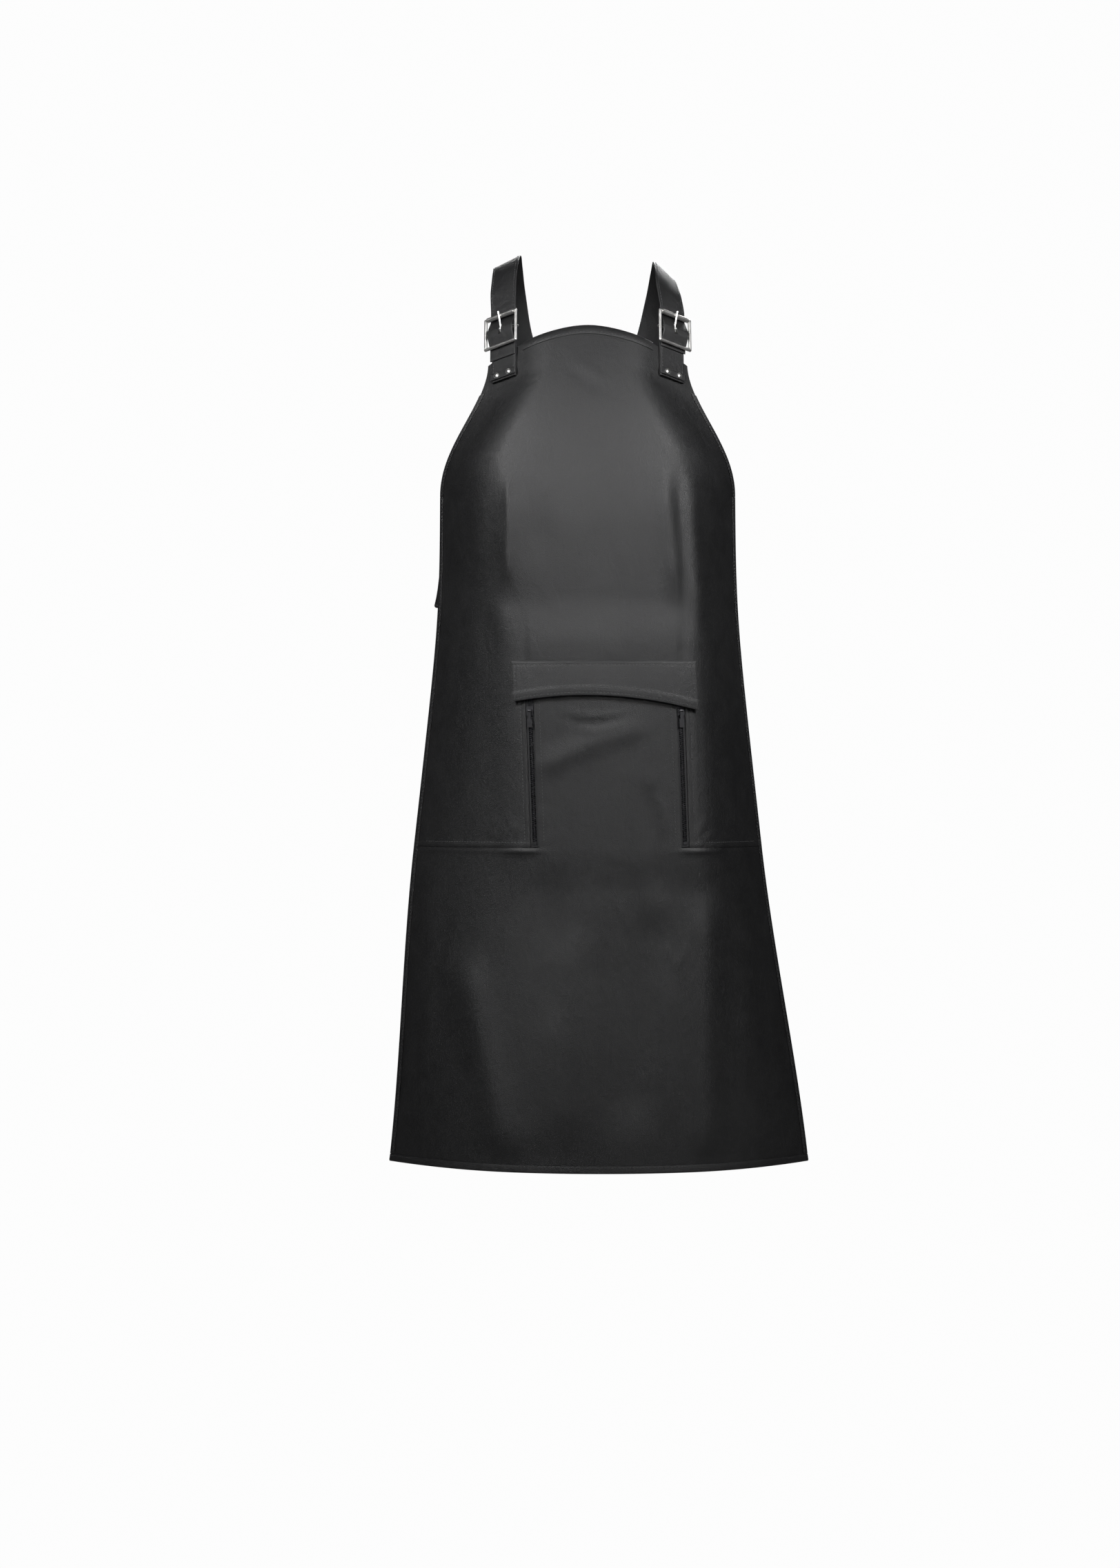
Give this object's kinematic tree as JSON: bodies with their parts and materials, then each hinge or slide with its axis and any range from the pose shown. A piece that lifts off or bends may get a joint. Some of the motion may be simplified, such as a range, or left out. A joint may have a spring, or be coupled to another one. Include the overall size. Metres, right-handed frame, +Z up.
{
  "type": "bib apron",
  "caption": "Full-length black bib apron with crossed back straps in roller buckles, a waist band over a zipped front panel, bound edges and a core sheet",
  "frame": {"origin": "below the middle of the worn apron's box, at the height of the hem", "axes": "+Z up, the wearer faces -Y, +X to the right of someone who looks at the front"},
  "size_m": [0.514, 0.292, 1.1161],
  "materials": {
    "black_leather": "satin",
    "strap_leather": "satin",
    "nickel": "polished",
    "zip_metal": "satin black",
    "zip_tape": "matt",
    "shielding_core": "matt",
    "lining_fabric": "matt"
  },
  "bodies": {
    "apron": {"bib_panel": "black_leather", "skirt_panel": "black_leather", "shielding_core": "shielding_core", "lining": "lining_fabric", "neckline_binding": "black_leather", "left_arm_binding": "black_leather", "right_arm_binding": "black_leather", "left_side_binding": "black_leather", "right_side_binding": "black_leather", "hem_binding": "black_leather", "left_zip_tape": "zip_tape", "right_zip_tape": "zip_tape", "left_zip_teeth": "zip_metal", "right_zip_teeth": "zip_metal", "left_zip_stops": "zip_metal", "right_zip_stops": "zip_metal", "left_shoulder_strap": "strap_leather", "right_shoulder_strap": "strap_leather", "left_strap_tab": "strap_leather", "right_strap_tab": "strap_leather", "left_anchor_strip": "black_leather", "right_anchor_strip": "black_leather", "left_rivets": "nickel", "right_rivets": "nickel", "left_rivet_washers": "nickel", "right_rivet_washers": "nickel"},
    "front_flap": {"front_band": "black_leather"},
    "left_slider": {"left_zip_slider": "zip_metal"},
    "left_pull": {"left_zip_pull": "zip_metal"},
    "left_buckle": {"left_buckle_frame": "nickel"},
    "left_roller": {"left_buckle_roller": "nickel"},
    "left_prong": {"left_buckle_prong": "nickel"},
    "right_slider": {"right_zip_slider": "zip_metal"},
    "right_pull": {"right_zip_pull": "zip_metal"},
    "right_buckle": {"right_buckle_frame": "nickel"},
    "right_roller": {"right_buckle_roller": "nickel"},
    "right_prong": {"right_buckle_prong": "nickel"}
  },
  "joints": [
    {"name": "band_lift", "type": "hinge", "parent": "apron", "child": "front_flap", "pos_m": [0.00439, -0.13485, 0.608], "axis": [-1, 0, 0], "range_deg": [0, 70]},
    {"name": "left_zip_slide", "type": "slide", "parent": "apron", "child": "left_slider", "axis": [0.0346, 0, -0.9994], "range_m": [0, 0.149], "deforming": ["left_zip_teeth"]},
    {"name": "left_pull_swing", "type": "hinge", "parent": "left_slider", "child": "left_pull", "pos_m": [-0.08403, -0.12291, 0.54832], "axis": [-0.9636, 0.2652, -0.0333], "range_deg": [0, 120]},
    {"name": "left_buckle_tilt", "type": "hinge", "parent": "apron", "child": "left_buckle", "pos_m": [-0.11789, -0.03583, 1.01177], "axis": [0.7973, -0.56, 0.2252], "range_deg": [-2.5, 2.5]},
    {"name": "left_roller_spin", "type": "hinge", "parent": "left_buckle", "child": "left_roller", "pos_m": [-0.11972, -0.03062, 1.03122], "axis": [0.7973, -0.56, 0.2252], "continuous": true},
    {"name": "left_prong_swing", "type": "hinge", "parent": "left_buckle", "child": "left_prong", "pos_m": [-0.11789, -0.03583, 1.01177], "axis": [0.7973, -0.56, 0.2252], "range_deg": [0, 90]},
    {"name": "right_zip_slide", "type": "slide", "parent": "apron", "child": "right_slider", "axis": [0.0346, 0, -0.9994], "range_m": [0, 0.149], "deforming": ["right_zip_teeth"]},
    {"name": "right_pull_swing", "type": "hinge", "parent": "right_slider", "child": "right_pull", "pos_m": [0.09693, -0.12291, 0.54849], "axis": [-0.9636, -0.2652, -0.0333], "range_deg": [0, 120]},
    {"name": "right_buckle_tilt", "type": "hinge", "parent": "apron", "child": "right_buckle", "pos_m": [0.09029, -0.03583, 1.01177], "axis": [0.7973, 0.56, -0.2252], "range_deg": [-2.5, 2.5]},
    {"name": "right_roller_spin", "type": "hinge", "parent": "right_buckle", "child": "right_roller", "pos_m": [0.09212, -0.03062, 1.03122], "axis": [0.7973, 0.56, -0.2252], "continuous": true},
    {"name": "right_prong_swing", "type": "hinge", "parent": "right_buckle", "child": "right_prong", "pos_m": [0.09029, -0.03583, 1.01177], "axis": [0.7973, 0.56, -0.2252], "range_deg": [0, 90]}
  ]
}
